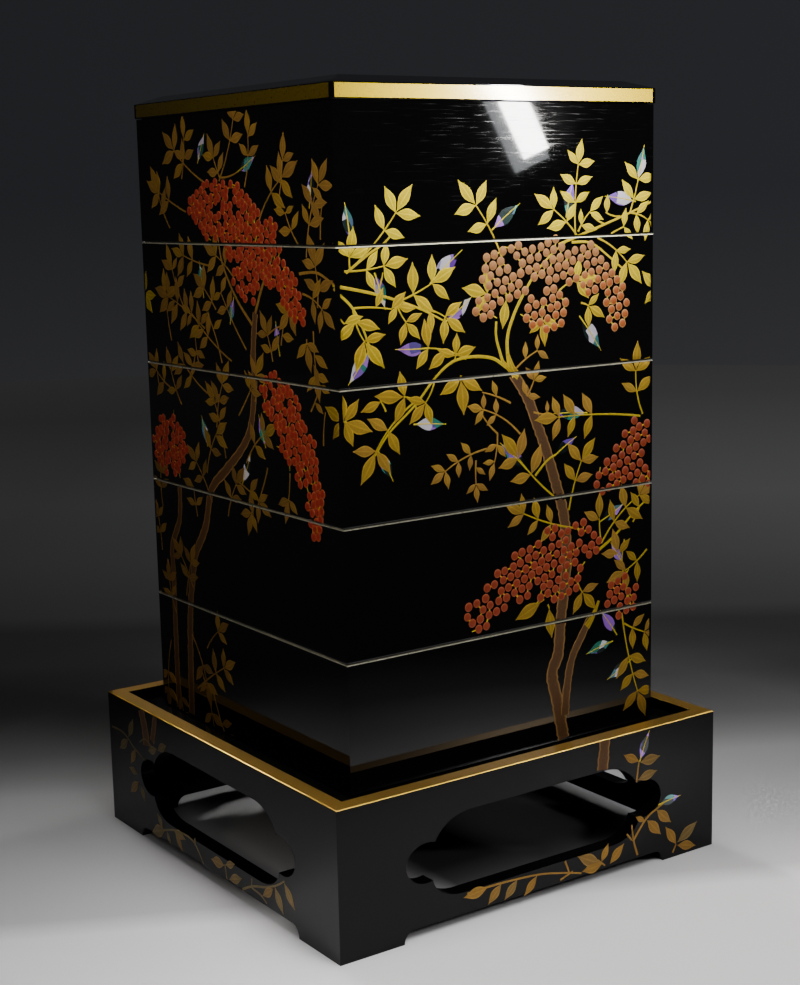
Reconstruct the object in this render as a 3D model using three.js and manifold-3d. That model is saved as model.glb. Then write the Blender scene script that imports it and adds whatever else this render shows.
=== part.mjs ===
// A tiered box of lacquered wood: five square tiers stacked under a lid, standing in the
// shallow well of a stand with shaped windows. Millimetres, +Z up, the origin on the floor
// under the middle of the stand.
import * as THREE from 'three';
import { ConvexGeometry } from 'three/addons/geometries/ConvexGeometry.js';
import { mergeVertices } from 'three/addons/utils/BufferGeometryUtils.js';
import Module from 'manifold-3d';

const wasm = await Module();
wasm.setup();

// Tiers
const tierCount = 5;
const tierSide = 230;
const tierPitch = 77;
const seamGap = 0.3;
const tierCorner = 2.6;
const tierArris = 1.2;
const tierWall = 7;
const tierFloor = 5;
const hollowCorner = 6;

// The raised lip inside each rim, which the tier above or the lid fits over
const lipThickness = 3.2;
const lipRise = 4;
const lipClearance = 0.4;
const lipHeadroom = 0.8;

// Lid
const lidOverhang = 0.7;
const lidBand = 9;
const lidBevelWidth = 14;
const lidBevelRise = 4.7;
const lidPlate = 6;
const lidArris = 0.6;

// Stand
const standSide = 286;
const standHeight = 90;
const standWall = 10.3;
const standCorner = 3;
const standArris = 1;
const wellDepth = 7;
const deckThickness = 7;
const footLength = 43.5;
const apronLift = 7.2;
const notchCorner = 7;

// Windows in the stand's four sides
const windowHalfLength = 79;
const windowSill = 20.5;
const windowHead = 70;
const shoulderReach = 28;
const shoulderDrop = 22;
const toeReach = 22;
const toeRise = 14;
const lobeReach = 97.5;
const lobeLevel = 45;
const lobeHalfHeight = 12;
const lobeHalfLength = 14.5;

// Fineness of the round stretches, and how far a cutter runs past the face that it cuts
const cornerSteps = 4;
const arrisSteps = 3;
const curveSteps = 9;
const cutPast = 2;

const deckTop = standHeight - wellDepth;
const stackFoot = deckTop + seamGap;
const tierHeight = tierPitch - seamGap;
const hollowSide = tierSide - 2 * tierWall;
const lipSide = hollowSide + 2 * lipThickness;
const recessSide = lipSide + 2 * lipClearance;
const recessCorner = hollowCorner + lipThickness + lipClearance;
const recessDepth = lipRise + lipHeadroom;
const lidSide = tierSide + 2 * lidOverhang;
const lidHeight = lidBand + lidBevelRise;

const lacquer = new THREE.MeshStandardMaterial({ color: 0x050505, roughness: 0.12, metalness: 0 });

// Corner points of a square with rounded corners, set in from the side by an inset.
function ring(side, corner, inset, z) {
  const points = [];
  const radius = Math.max(corner - inset, 0.2);
  const centre = side / 2 - inset - radius;
  for (let quarter = 0; quarter < 4; quarter++) {
    for (let step = 0; step <= cornerSteps; step++) {
      const angle = (quarter + step / cornerSteps) * Math.PI / 2;
      const turnX = Math.sign(Math.cos((quarter + 0.5) * Math.PI / 2));
      const turnY = Math.sign(Math.sin((quarter + 0.5) * Math.PI / 2));
      points.push(new THREE.Vector3(
        turnX * centre + radius * Math.cos(angle),
        turnY * centre + radius * Math.sin(angle),
        z,
      ));
    }
  }
  return points;
}

// A solid square block whose top and bottom edges are rounded by an arris.
function block(side, corner, bottom, top, arris) {
  const points = [];
  for (let step = 0; step <= arrisSteps; step++) {
    const angle = step / arrisSteps * Math.PI / 2;
    const inset = arris * (1 - Math.sin(angle));
    const rise = arris * (1 - Math.cos(angle));
    points.push(...ring(side, corner, inset, bottom + rise));
    points.push(...ring(side, corner, inset, top - rise));
  }
  return solid(new ConvexGeometry(points));
}

// A plain square block with rounded upright corners, for the hollows and the lip.
function plug(side, corner, bottom, top) {
  const points = [...ring(side, corner, 0, bottom), ...ring(side, corner, 0, top)];
  return solid(new ConvexGeometry(points));
}

// A flat outline in x and z, pushed through the stand from front to back.
function through(shape) {
  const length = standSide + 2 * cutPast;
  const geometry = new THREE.ExtrudeGeometry(shape, {
    depth: length,
    bevelEnabled: false,
    curveSegments: curveSteps,
  });
  geometry.rotateX(Math.PI / 2);
  geometry.translate(0, length / 2, 0);
  return solid(geometry);
}

function solid(geometry) {
  geometry.deleteAttribute('normal');
  geometry.deleteAttribute('uv');
  const merged = mergeVertices(geometry, 1e-4);
  return new wasm.Manifold(new wasm.Mesh({
    numProp: 3,
    vertProperties: new Float32Array(merged.attributes.position.array),
    triVerts: new Uint32Array(merged.index.array),
  }));
}

function piece(name, body, height) {
  const shell = body.getMesh();
  const geometry = new THREE.BufferGeometry();
  geometry.setAttribute('position', new THREE.BufferAttribute(shell.vertProperties, 3));
  geometry.setIndex(new THREE.BufferAttribute(shell.triVerts, 1));
  geometry.computeVertexNormals();
  const mesh = new THREE.Mesh(geometry, lacquer);
  mesh.name = name;
  mesh.position.z = height;
  return mesh;
}

// One tier: four walls, a floor, the lip inside the rim and the recess under the floor.
function tier() {
  const lipTop = tierHeight + lipRise;
  const floorTop = recessDepth + tierFloor;
  return block(tierSide, tierCorner, 0, tierHeight, tierArris)
    .add(plug(lipSide, hollowCorner + lipThickness, floorTop, lipTop))
    .subtract(plug(hollowSide, hollowCorner, floorTop, lipTop + cutPast))
    .subtract(plug(recessSide, recessCorner, -cutPast, recessDepth));
}

// The lid: an upright edge band and a low bevel rising to a flat top, hollow underneath.
function lid() {
  const points = [];
  for (let step = 0; step <= arrisSteps; step++) {
    const angle = step / arrisSteps * Math.PI / 2;
    const inset = lidArris * (1 - Math.sin(angle));
    points.push(...ring(lidSide, tierCorner, inset, lidArris * (1 - Math.cos(angle))));
  }
  points.push(...ring(lidSide, tierCorner, 0, lidBand - lidArris));
  points.push(...ring(lidSide, tierCorner, lidArris, lidBand));
  points.push(...ring(lidSide, tierCorner, lidBevelWidth, lidHeight));
  return solid(new ConvexGeometry(points))
    .subtract(plug(recessSide, recessCorner, -cutPast, lidHeight - lidPlate));
}

// The window's outline is a long panel with swept shoulders and toes, and a lobe at each end.
function windowPanel() {
  const shape = new THREE.Shape();
  const shoulder = windowHalfLength - shoulderReach;
  const toe = windowHalfLength - toeReach;
  shape.moveTo(-toe, windowSill);
  shape.lineTo(toe, windowSill);
  shape.absellipse(toe, windowSill + toeRise, toeReach, toeRise, -Math.PI / 2, 0);
  shape.absellipse(shoulder, windowHead - shoulderDrop, shoulderReach, shoulderDrop, 0, Math.PI / 2);
  shape.lineTo(-shoulder, windowHead);
  shape.absellipse(-shoulder, windowHead - shoulderDrop, shoulderReach, shoulderDrop, Math.PI / 2, Math.PI);
  shape.absellipse(-toe, windowSill + toeRise, toeReach, toeRise, Math.PI, 1.5 * Math.PI);
  return shape;
}

function windowLobe(end) {
  const shape = new THREE.Shape();
  const centre = end * (lobeReach - lobeHalfLength);
  shape.absellipse(centre, lobeLevel, lobeHalfLength, lobeHalfHeight, 0, 2 * Math.PI);
  return shape;
}

// The notch under each side, with rounded ends, leaves a foot at both corners.
function apronNotch() {
  const shape = new THREE.Shape();
  const half = standSide / 2 - footLength;
  const centre = half - notchCorner;
  const level = apronLift - notchCorner;
  shape.moveTo(-half, -cutPast);
  shape.lineTo(half, -cutPast);
  shape.absellipse(centre, level, notchCorner, notchCorner, 0, Math.PI / 2);
  shape.absellipse(-centre, level, notchCorner, notchCorner, Math.PI / 2, Math.PI);
  return shape;
}

function stand() {
  const roomSide = standSide - 2 * standWall;
  const roomCorner = 1;
  const shapes = [windowPanel(), windowLobe(-1), windowLobe(1), apronNotch()];
  const cutter = shapes.map(through).reduce((sum, next) => sum.add(next));
  return block(standSide, standCorner, -standArris, standHeight, standArris)
    .subtract(plug(standSide + 2 * cutPast, standCorner, -standArris - cutPast, 0))
    .subtract(plug(roomSide, roomCorner, -cutPast, deckTop - deckThickness))
    .subtract(plug(roomSide, roomCorner, deckTop, standHeight + cutPast))
    .subtract(cutter)
    .subtract(cutter.rotate([0, 0, 90]));
}

const group = new THREE.Group();
group.name = 'tiered_box';
group.add(piece('stand', stand(), 0));
const tierBody = tier();
for (let number = 1; number <= tierCount; number++) {
  const stepsUp = tierCount - number;
  group.add(piece(`tier_${number}`, tierBody, stackFoot + stepsUp * tierPitch));
}
group.add(piece('lid', lid(), stackFoot + tierCount * tierPitch));

export default group;
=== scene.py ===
import math
import random
import bpy
import bmesh
from mathutils import Matrix, Vector


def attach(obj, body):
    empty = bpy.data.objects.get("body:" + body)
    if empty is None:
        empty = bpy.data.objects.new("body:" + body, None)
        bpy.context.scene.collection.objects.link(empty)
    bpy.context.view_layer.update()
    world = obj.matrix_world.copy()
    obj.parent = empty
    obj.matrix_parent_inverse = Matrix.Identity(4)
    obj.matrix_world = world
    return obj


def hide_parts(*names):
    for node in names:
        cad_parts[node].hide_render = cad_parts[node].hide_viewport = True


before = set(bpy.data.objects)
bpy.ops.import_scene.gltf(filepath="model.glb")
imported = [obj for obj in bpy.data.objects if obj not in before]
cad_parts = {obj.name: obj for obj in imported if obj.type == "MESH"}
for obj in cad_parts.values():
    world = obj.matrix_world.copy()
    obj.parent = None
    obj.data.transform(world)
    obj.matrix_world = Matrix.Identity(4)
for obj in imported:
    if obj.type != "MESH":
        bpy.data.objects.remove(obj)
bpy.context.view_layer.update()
MM = 0.001

# Camera: the photograph's own place, found from the box's corners. It stands a little above
# the lid's edge, looks down by ten degrees and is tipped sideways by about one.
camera_place = (-0.6048, -0.8773, 0.4195)
camera_turn = math.radians(-34.71)
camera_dip = math.radians(10.14)
camera_tip = math.radians(-1.26)
camera_lens = 61.47

camera = bpy.data.objects.new("camera", bpy.data.cameras.new("camera"))
camera.data.lens = camera_lens
camera.data.sensor_width = 36
camera.data.clip_start = 0.01
turned = Matrix.Rotation(camera_turn, 4, "Z") @ Matrix.Rotation(math.pi / 2 - camera_dip, 4, "X")
camera.matrix_world = Matrix.Translation(camera_place) @ turned @ Matrix.Rotation(camera_tip, 4, "Z")
bpy.context.scene.collection.objects.link(camera)
bpy.context.scene.camera = camera


# Floor and light: a pale table top in a dim studio, its colour painted with a pool of light,
# painted shade and a dim painted glow. A small lamp at the right of the camera shows in the
# lacquer, a soft panel hangs overhead, and narrow lamps reach the other sides.
def new_material(name):
    material = bpy.data.materials.new(name)
    material.use_nodes = True
    return material, material.node_tree


def set_inputs(tree, node, inputs):
    for socket, value in inputs.items():
        if isinstance(value, bpy.types.NodeSocket):
            tree.links.new(value, node.inputs[socket])
        else:
            node.inputs[socket].default_value = value


def set_shader(material, inputs):
    set_inputs(material.node_tree, material.node_tree.nodes["Principled BSDF"], inputs)


def put_node(tree, kind, output, inputs, **settings):
    node = tree.nodes.new("ShaderNode" + kind)
    for name, value in settings.items():
        setattr(node, name, value)
    set_inputs(tree, node, inputs)
    return node.outputs[output]


def ramp_node(tree, factor, stops):
    ramp = tree.nodes.new("ShaderNodeValToRGB")
    points = ramp.color_ramp.elements
    while len(points) < len(stops):
        points.new(0.5)
    for point, (position, colour) in zip(points, stops):
        point.position = position
        point.color = (*colour, 1)
    tree.links.new(factor, ramp.inputs["Fac"])
    return ramp.outputs["Color"]


def span_node(tree, value, low, high, new_low=0, new_high=1):
    inputs = {"Value": value, "From Min": low, "From Max": high, "To Min": new_low, "To Max": new_high}
    return put_node(tree, "MapRange", "Result", inputs)


def noise_node(tree, where, scale, detail, roughness=0.5):
    inputs = {"Vector": where, "Scale": scale, "Detail": detail, "Roughness": roughness}
    return put_node(tree, "TexNoise", "Fac", inputs)


def math_node(tree, kind, *values):
    return put_node(tree, "Math", "Value", dict(enumerate(values)), operation=kind)


def mix_node(tree, kind, factor, first, second):
    inputs = {"Factor": factor, "A": first, "B": second}
    return put_node(tree, "Mix", "Result", inputs, data_type="RGBA", blend_type=kind)


def times(tree, first, second):
    return mix_node(tree, "MULTIPLY", 1.0, first, second)


def select_none():
    bpy.ops.object.select_all(action="DESELECT")


def lamp(name, place, aim, size, power, colour, spread=180, roll=0.0):
    data = bpy.data.lights.new(name, "AREA")
    data.shape = "RECTANGLE"
    data.size, data.size_y = size
    data.energy = power
    data.color = colour
    data.spread = math.radians(spread)
    light = bpy.data.objects.new(name, data)
    facing = (Vector(aim) - Vector(place)).to_track_quat("-Z", "Y").to_matrix().to_4x4()
    light.matrix_world = Matrix.Translation(place) @ facing @ Matrix.Rotation(roll, 4, "Z")
    bpy.context.scene.collection.objects.link(light)


floor_radius = 3.0
camera_right, camera_ahead = (0.8221, -0.5694, 0), (0.5694, 0.8221, 0)
shade_ahead = (0.47, 0.93, 0)
shade_middle, pool_middle, wall_middle = (0.045, -0.045, 0), (0.06, 0.05, 0), (0.10, 0.10, 0)
select_none()
bpy.ops.mesh.primitive_circle_add(vertices=96, radius=floor_radius, fill_type="NGON")
floor = bpy.context.object
floor.name = "floor"
pale_floor_painted_light, tree = new_material("pale_floor_painted_light")
where = put_node(tree, "TexCoord", "Object", {})


def measure(kind, vector):
    return put_node(tree, "VectorMath", "Value", {0: where, 1: vector}, operation=kind)


def grey_ramp(factor, low, high, stops):
    greys = [((place - low) / (high - low), (value, value, value * 1.01)) for place, value in stops]
    return ramp_node(tree, span_node(tree, factor, low, high), greys)


# Painted light and shade: the floor is painted darker with distance ahead, standing for falloff and the box's
# shadow behind it, darker outside a pool round pool_middle, and darker in a square under the stand as a
# painted shadow.
depth = grey_ramp(measure("DOT_PRODUCT", shade_ahead), -0.25, 0.45, [
    (-0.25, 0.84), (-0.13, 0.78), (-0.105, 0.47), (-0.05, 0.39), (0.0, 0.33), (0.07, 0.27),
    (0.12, 0.25), (0.16, 0.175), (0.21, 0.12), (0.27, 0.09), (0.33, 0.06), (0.45, 0.045)])
across = put_node(tree, "VectorMath", "Vector", {0: where, 1: shade_middle}, operation="SUBTRACT")
reach = []
for axis in ("X", "Y"):
    part = put_node(tree, "SeparateXYZ", axis, {"Vector": across})
    reach.append(math_node(tree, "ABSOLUTE", part))
painted_shade_under_stand = grey_ramp(math_node(tree, "MAXIMUM", *reach), 0.0, 0.5, [(0.070, 0.15), (0.090, 1.0)])
ring = grey_ramp(measure("DISTANCE", pool_middle), 0.0, 1.0, [
    (0.37, 1.0), (0.40, 0.8), (0.46, 0.4), (0.54, 0.12), (0.66, 0.0)])
# Painted glow: the floor emits a dim light that rises ahead and far off and is brighter towards the right,
# standing in for light on the far table and the backdrop.
painted_glow_ahead = grey_ramp(measure("DOT_PRODUCT", camera_ahead), 0.2, 3.0, [
    (0.25, 0.0), (0.42, 0.017), (0.54, 0.018), (0.60, 0.029), (0.85, 0.038), (1.24, 0.045),
    (1.8, 0.037), (2.4, 0.029), (2.9, 0.0265)])
lean = grey_ramp(measure("DOT_PRODUCT", camera_right), -0.5, 0.5, [(-0.5, 0.7), (0.5, 1.36)])
painted_glow_far = grey_ramp(measure("DISTANCE", wall_middle), 0.0, 3.0, [(0.42, 0.0), (0.62, 0.016), (2.9, 0.0265)])
painted_floor_light = times(tree, times(tree, depth, ring), painted_shade_under_stand)
painted_floor_glow = mix_node(tree, "LIGHTEN", 1.0, times(tree, painted_glow_ahead, lean), painted_glow_far)
set_shader(pale_floor_painted_light, {
    "Base Color": painted_floor_light, "Roughness": 0.6, "Specular IOR Level": 0.0,
    "Emission Color": painted_floor_glow, "Emission Strength": 1.0})
floor.data.materials.append(pale_floor_painted_light)

glare_spot, far_size, lamp_colour = (0.012, -0.115, 0.447), (0.35, 0.35), (1.0, 0.98, 0.95)
lamp("lamp", (0.628, -0.893, 0.524), glare_spot, (0.032, 0.142), 2.9, lamp_colour, roll=0.42)
lamp("lamp_edge", (0.636, -0.915, 0.518), glare_spot, (0.044, 0.158), 0.16, (0.92, 0.97, 1.0), roll=0.42)
lamp("overhead", (0.0, -0.95, 1.25), (-0.05, -0.15, 0.0), (0.7, 0.7), 17.6, (1.0, 0.99, 0.98))
lamp("key", (0.25, -1.0, 1.0), (0.06, -0.115, 0.44), (0.25, 0.25), 0.18, (1.0, 0.99, 0.94), 28)
lamp("fill", (-0.85, -0.8, 1.0), (-0.1, -0.1, 0.33), (0.35, 0.35), 2.5, (1.0, 0.97, 0.92))
lamp("side", (-1.3, 0.05, 0.95), (-0.115, -0.15, 0.40), (0.3, 0.3), 0.66, (1.0, 0.93, 0.84), 30)
lamp("right", (1.35, -0.05, 0.95), (0.115, 0.0, 0.33), far_size, 0.65, lamp_colour, 26)
lamp("back", (0.0, 1.0, 1.35), (0.0, 0.115, 0.33), far_size, 0.65, lamp_colour, 26)
world = bpy.data.worlds.new("studio")
bpy.context.scene.world = world
world.use_nodes = True
sky = world.node_tree
wall = put_node(sky, "TexCoord", "Generated", {})
rise = put_node(sky, "SeparateXYZ", "Z", {"Vector": wall})
climb = span_node(sky, rise, -0.11, 0.11)
aside = put_node(sky, "VectorMath", "Value", {0: wall, 1: camera_right}, operation="DOT_PRODUCT")
set_inputs(sky, sky.nodes["Background"], {
    "Color": ramp_node(sky, climb, [(0.0, (0.0265, 0.0268, 0.0285)), (0.5, (0.0185, 0.0190, 0.0215))]),
    "Strength": span_node(sky, aside, -0.6, 0.6, 0.75, 1.5)})


# Stand: a square carcase with a shallow well, shaped windows and a foot at each corner, built
# of wood and lacquered black all over. The top of its rim is gold, painted darker as painted shade,
# and its outer edge is the same gold painted brighter as a painted highlight.
stand_side = 286 * MM
stand_height = 90 * MM
stand_wall = 10.3 * MM
stand_corner = 3 * MM
stand_arris = 1.0 * MM
deck_top = 83 * MM
deck_under = 76 * MM
window_half, window_sill, window_head = 79 * MM, 20.5 * MM, 70 * MM
shoulder, toe = (28 * MM, 22 * MM), (22 * MM, 14 * MM)
lobe_centre, lobe_level, lobe_half = 83 * MM, 45 * MM, (14.5 * MM, 12 * MM)
foot_length, apron_lift, notch_corner = 43.5 * MM, 7.2 * MM, 7 * MM
hair = 0.01 * MM


def lacquer_material(name, ior, haze_low, haze_high, rub):
    material, tree = new_material(name)
    where = put_node(tree, "TexCoord", "Object", {})
    haze = span_node(tree, noise_node(tree, where, 14, 3), 0.35, 0.75, haze_low, haze_high)
    along = put_node(tree, "VectorMath", "Vector", {0: where, 1: (45, 45, 2200)}, operation="MULTIPLY")
    rubbed = span_node(tree, noise_node(tree, along, 1, 2), 0.60, 0.78, 0, rub)
    facing = put_node(tree, "TexCoord", "Normal", {})
    level = put_node(tree, "SeparateXYZ", "Z", {"Vector": facing})
    upright = span_node(tree, level, 0, 0.2, 1, 0)
    kept = math_node(tree, "MULTIPLY", rubbed, upright)
    swell = noise_node(tree, where, 22, 1)
    set_shader(material, {
        "Base Color": (0.0016, 0.0015, 0.0016, 1), "IOR": ior,
        "Roughness": math_node(tree, "ADD", haze, kept),
        "Normal": put_node(tree, "Bump", "Normal", {
            "Height": swell, "Strength": 0.03, "Distance": 0.0006})})
    return material


def gold_material(name, colour, roughness, metallic=1.0):
    material, tree = new_material(name)
    where = put_node(tree, "TexCoord", "Object", {})
    grain = noise_node(tree, where, 700, 3)
    tint = span_node(tree, grain, 0, 1, 0.8, 1.1)
    set_shader(material, {
        "Base Color": times(tree, (*colour, 1), tint), "Metallic": metallic,
        "Roughness": span_node(tree, grain, 0, 1, roughness - 0.08, roughness + 0.08)})
    return material


lacquer = lacquer_material("black_lacquer", 1.43, 0.014, 0.045, 0.12)
stand_lacquer = lacquer_material("stand_lacquer", 1.27, 0.2, 0.26, 0.03)
rim_gold_painted_dim = gold_material("rim_gold_painted_dim", (0.24, 0.135, 0.02), 0.38, 0.7)
rim_edge_gold_painted_bright = gold_material("rim_edge_gold_painted_bright", (0.86, 0.55, 0.10), 0.36)


def select_only(piece):
    select_none()
    piece.select_set(True)
    bpy.context.view_layer.objects.active = piece


def set_mode(mode):
    bpy.ops.object.mode_set(mode=mode)


def select_mesh():
    bpy.ops.mesh.select_all(action="SELECT")


def draw_out(*way):
    bpy.ops.mesh.extrude_region_move(TRANSFORM_OT_translate={"value": way})


def new_block(name, size, centre):
    select_none()
    bpy.ops.mesh.primitive_cube_add(size=1, location=centre, scale=size)
    piece = bpy.context.object
    piece.name = name
    bpy.ops.object.transform_apply(location=True, rotation=True, scale=True)
    return piece


def pick_edges(piece, test):
    edges = bmesh.from_edit_mesh(piece.data)
    for face in edges.faces:
        face.select_set(False)
    for edge in edges.edges:
        edge.select_set(test(edge.verts[0].co, edge.verts[1].co))
    edges.select_flush_mode()
    bmesh.update_edit_mesh(piece.data)


def pick_face(piece, test):
    shell = bmesh.from_edit_mesh(piece.data)
    for face in shell.faces:
        face.select_set(False)
    for face in shell.faces:
        if test(face.calc_center_median(), face.normal):
            face.select_set(True)
    bmesh.update_edit_mesh(piece.data)


def round_uprights(piece, radius, segments):
    pick_edges(piece, lambda a, b: abs(a.z - b.z) > 1 * MM and (a - b).xy.length < hair)
    bpy.ops.mesh.bevel(offset=radius, segments=segments, affect="EDGES")


def round_level(piece, level, radius, segments):
    pick_edges(piece, lambda a, b: abs(a.z - level) < hair and abs(b.z - level) < hair)
    bpy.ops.mesh.bevel(offset=radius, segments=segments, affect="EDGES")


def step_in(piece, level, up, inset, push):
    pick_face(piece, lambda c, n: abs(c.z - level) < hair and n.z * up > 0.9 and c.xy.length < 1 * MM)
    bpy.ops.mesh.inset(thickness=inset, depth=0)
    draw_out(0, 0, push)


def apply_modifier(piece, kind, **settings):
    select_only(piece)
    modifier = piece.modifiers.new(kind.lower(), kind)
    for name, value in settings.items():
        setattr(modifier, name, value)
    bpy.ops.object.modifier_apply(modifier=modifier.name)


def finish_shading(piece):
    select_only(piece)
    bpy.ops.object.shade_smooth_by_angle(angle=math.radians(35))
    apply_modifier(piece, "WEIGHTED_NORMAL", keep_sharp=True, weight=100)


def cutter_from(name, outline_of):
    select_none()
    bpy.ops.mesh.primitive_circle_add(vertices=72, radius=1, fill_type="NGON")
    piece = bpy.context.object
    piece.name = name
    for vertex in piece.data.vertices:
        x, z = outline_of(vertex.co.x, vertex.co.y)
        vertex.co = (x, -stand_side, z)
    set_mode("EDIT")
    select_mesh()
    draw_out(0, 2 * stand_side, 0)
    select_mesh()
    bpy.ops.mesh.normals_make_consistent(inside=False)
    set_mode("OBJECT")
    return piece


def panel_outline(cosine, sine):
    reach, rise = shoulder if sine > 0 else toe
    level = window_head - rise if sine > 0 else window_sill + rise
    return math.copysign(window_half - reach, cosine) + reach * cosine, level + rise * sine


def lobe_outline(end):
    return lambda cosine, sine: (end * lobe_centre + lobe_half[0] * cosine, lobe_level + lobe_half[1] * sine)


def notch_outline(cosine, sine):
    half = stand_side / 2 - foot_length
    if sine < 0:
        return half * math.copysign(1, cosine), -5 * MM
    across = math.copysign(half - notch_corner, cosine) + notch_corner * cosine
    return across, apron_lift - notch_corner + notch_corner * sine


stand = new_block("lacquer_stand", (stand_side, stand_side, stand_height), (0, 0, stand_height / 2))
set_mode("EDIT")
round_uprights(stand, stand_corner, 8)
round_level(stand, stand_height, stand_arris, 4)
step_in(stand, stand_height, 1, stand_wall - stand_arris, deck_top - stand_height)
step_in(stand, 0, -1, stand_wall, deck_under)
set_mode("OBJECT")
shapes = {
    "panel": panel_outline, "lobe_a": lobe_outline(-1), "lobe_b": lobe_outline(1), "notch": notch_outline}
for name, outline in shapes.items():
    cutter = cutter_from(name, outline)
    for quarter in (0, 1):
        cutter.data.transform(Matrix.Rotation(quarter * math.pi / 2, 4, "Z"))
        apply_modifier(stand, "BOOLEAN", operation="DIFFERENCE", object=cutter, solver="EXACT")
    bpy.data.objects.remove(cutter)
apply_modifier(stand, "BEVEL", width=0.5 * MM, segments=2, limit_method="ANGLE", angle_limit=math.radians(50))
for finish in (stand_lacquer, rim_gold_painted_dim, rim_edge_gold_painted_bright):
    stand.data.materials.append(finish)
# The rim top takes the darker gold and its outer edge the brighter one: painted shade and a painted highlight
# on one gold.
for face in stand.data.polygons:
    gilt = face.center.z > stand_height - 0.8 * stand_arris
    outer = max(abs(face.center.x), abs(face.center.y)) > stand_side / 2 - stand_arris
    face.material_index = (2 if outer and face.normal.z < 0.97 else 1) if gilt else 0
finish_shading(stand)
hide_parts("stand")
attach(stand, "root")


# Tiers: five like boxes, each with four walls, a floor, a lip inside the rim for the piece
# above and a recess below. They are lacquered black, with a line of gold on the rim's edge,
# its gold whitened as a painted highlight.
tier_count = 5
tier_side, tier_pitch, tier_gap = 230 * MM, 77 * MM, 0.3 * MM
tier_corner, tier_arris = 2.6 * MM, 1.2 * MM
tier_height = tier_pitch - tier_gap
lip_side, lip_thickness, lip_rise = 222.4 * MM, 3.2 * MM, 4 * MM
recess_side, recess_depth, floor_thickness = 223.2 * MM, 4.8 * MM, 5 * MM
gold_line = 0.65 * MM
# Gold line on the rim's edge; its colour is whitened as a painted highlight.
line_gold_painted_highlight = gold_material("line_gold_painted_highlight", (1.0, 0.95, 0.72), 0.30, 0.9)
set_shader(line_gold_painted_highlight, {"Coat Weight": 0.6, "Coat Roughness": 0.22})


def tier_foot(number):
    return deck_top + tier_gap + (tier_count - number) * tier_pitch


def make_tier(number):
    foot = tier_foot(number)
    top = foot + tier_height
    flat = tier_side - 2 * tier_arris
    size = (tier_side, tier_side, tier_height)
    tier = new_block(f"lacquer_tier_{number}", size, (0, 0, foot + tier_height / 2))
    set_mode("EDIT")
    round_uprights(tier, tier_corner, 8)
    round_level(tier, foot, tier_arris, 5)
    round_level(tier, top, tier_arris, 5)
    select_mesh()
    bpy.ops.mesh.bisect(plane_co=(0, 0, top - gold_line), plane_no=(0, 0, 1), threshold=1e-7)
    step_in(tier, foot, -1, (flat - recess_side) / 2, recess_depth)
    step_in(tier, top, 1, (flat - lip_side) / 2, lip_rise)
    down = foot + recess_depth + floor_thickness - top - lip_rise
    step_in(tier, top + lip_rise, 1, lip_thickness, down)
    set_mode("OBJECT")
    tier.data.materials.append(lacquer)
    tier.data.materials.append(line_gold_painted_highlight)
    for face in tier.data.polygons:
        edge = number > 1 and top - gold_line < face.center.z < top + hair
        face.material_index = 1 if edge else 0
    finish_shading(tier)
    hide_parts(f"tier_{number}")
    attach(tier, "root")


for number in range(1, tier_count + 1):
    make_tier(number)


# Lid: a square lid that fits over the top tier's lip. Its low bevel rises to a flat top, and
# its upright edge is gold, in a panel on each side that stops short of the rounded corners.
lid_side, lid_band, lid_height = 231.4 * MM, 9 * MM, 13.7 * MM
lid_bevel, lid_plate, lid_arris = 14 * MM, 6 * MM, 0.6 * MM
lid_foot = tier_foot(1) + tier_pitch
edge_panel, edge_corner, stripe_width = 0.1 * MM, 1.6 * MM, 0.7 * MM
panel_end, panel_low, panel_high = 2.2 * MM, 0.9 * MM, 8.5 * MM
band_gold = gold_material("band_gold", (0.50, 0.345, 0.0), 0.30)
set_shader(band_gold, {
    "Coat Weight": 1.0, "Coat IOR": 1.9, "Coat Roughness": 0.105, "Specular Tint": (1.0, 0.75, 0.1, 1)})

lid = new_block("lacquer_lid", (lid_side, lid_side, lid_band), (0, 0, lid_foot + lid_band / 2))
set_mode("EDIT")
round_uprights(lid, tier_corner, 8)
round_level(lid, lid_foot, lid_arris, 4)
round_level(lid, lid_foot + lid_band, lid_arris, 4)
pick_face(lid, lambda c, n: n.z > 0.9 and abs(c.z - lid_foot - lid_band) < hair and c.xy.length < 1 * MM)
draw_out(0, 0, lid_height - lid_band)
taper = (lid_side - 2 * lid_bevel) / (lid_side - 2 * lid_arris)
bpy.ops.transform.resize(value=(taper, taper, 1), center_override=(0, 0, 0))
step_in(lid, lid_foot, -1, (lid_side - 2 * lid_arris - recess_side) / 2, lid_height - lid_plate)
set_mode("OBJECT")
lid.data.materials.append(lacquer)
finish_shading(lid)
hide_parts("lid")
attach(lid, "root")


def edge_plate(name, width):
    half = lid_side / 2
    size = (width, 2 * edge_panel, panel_high - panel_low)
    plate = new_block(name, size, (0, -half, lid_foot + (panel_low + panel_high) / 2))
    set_mode("EDIT")
    pick_edges(plate, lambda a, b: abs(a.y - b.y) > edge_panel)
    bpy.ops.mesh.bevel(offset=min(edge_corner, 0.45 * width), segments=6, affect="EDGES")
    pick_edges(plate, lambda a, b: a.y < -half - 0.5 * edge_panel and b.y < -half - 0.5 * edge_panel)
    bpy.ops.mesh.bevel(offset=0.45 * edge_panel, segments=2, affect="EDGES")
    set_mode("OBJECT")
    return plate


def join_pieces(pieces, name):
    select_none()
    for piece in pieces:
        piece.select_set(True)
    bpy.context.view_layer.objects.active = pieces[0]
    if len(pieces) > 1:
        bpy.ops.object.join()
    pieces[0].name = name
    return pieces[0]


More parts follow.
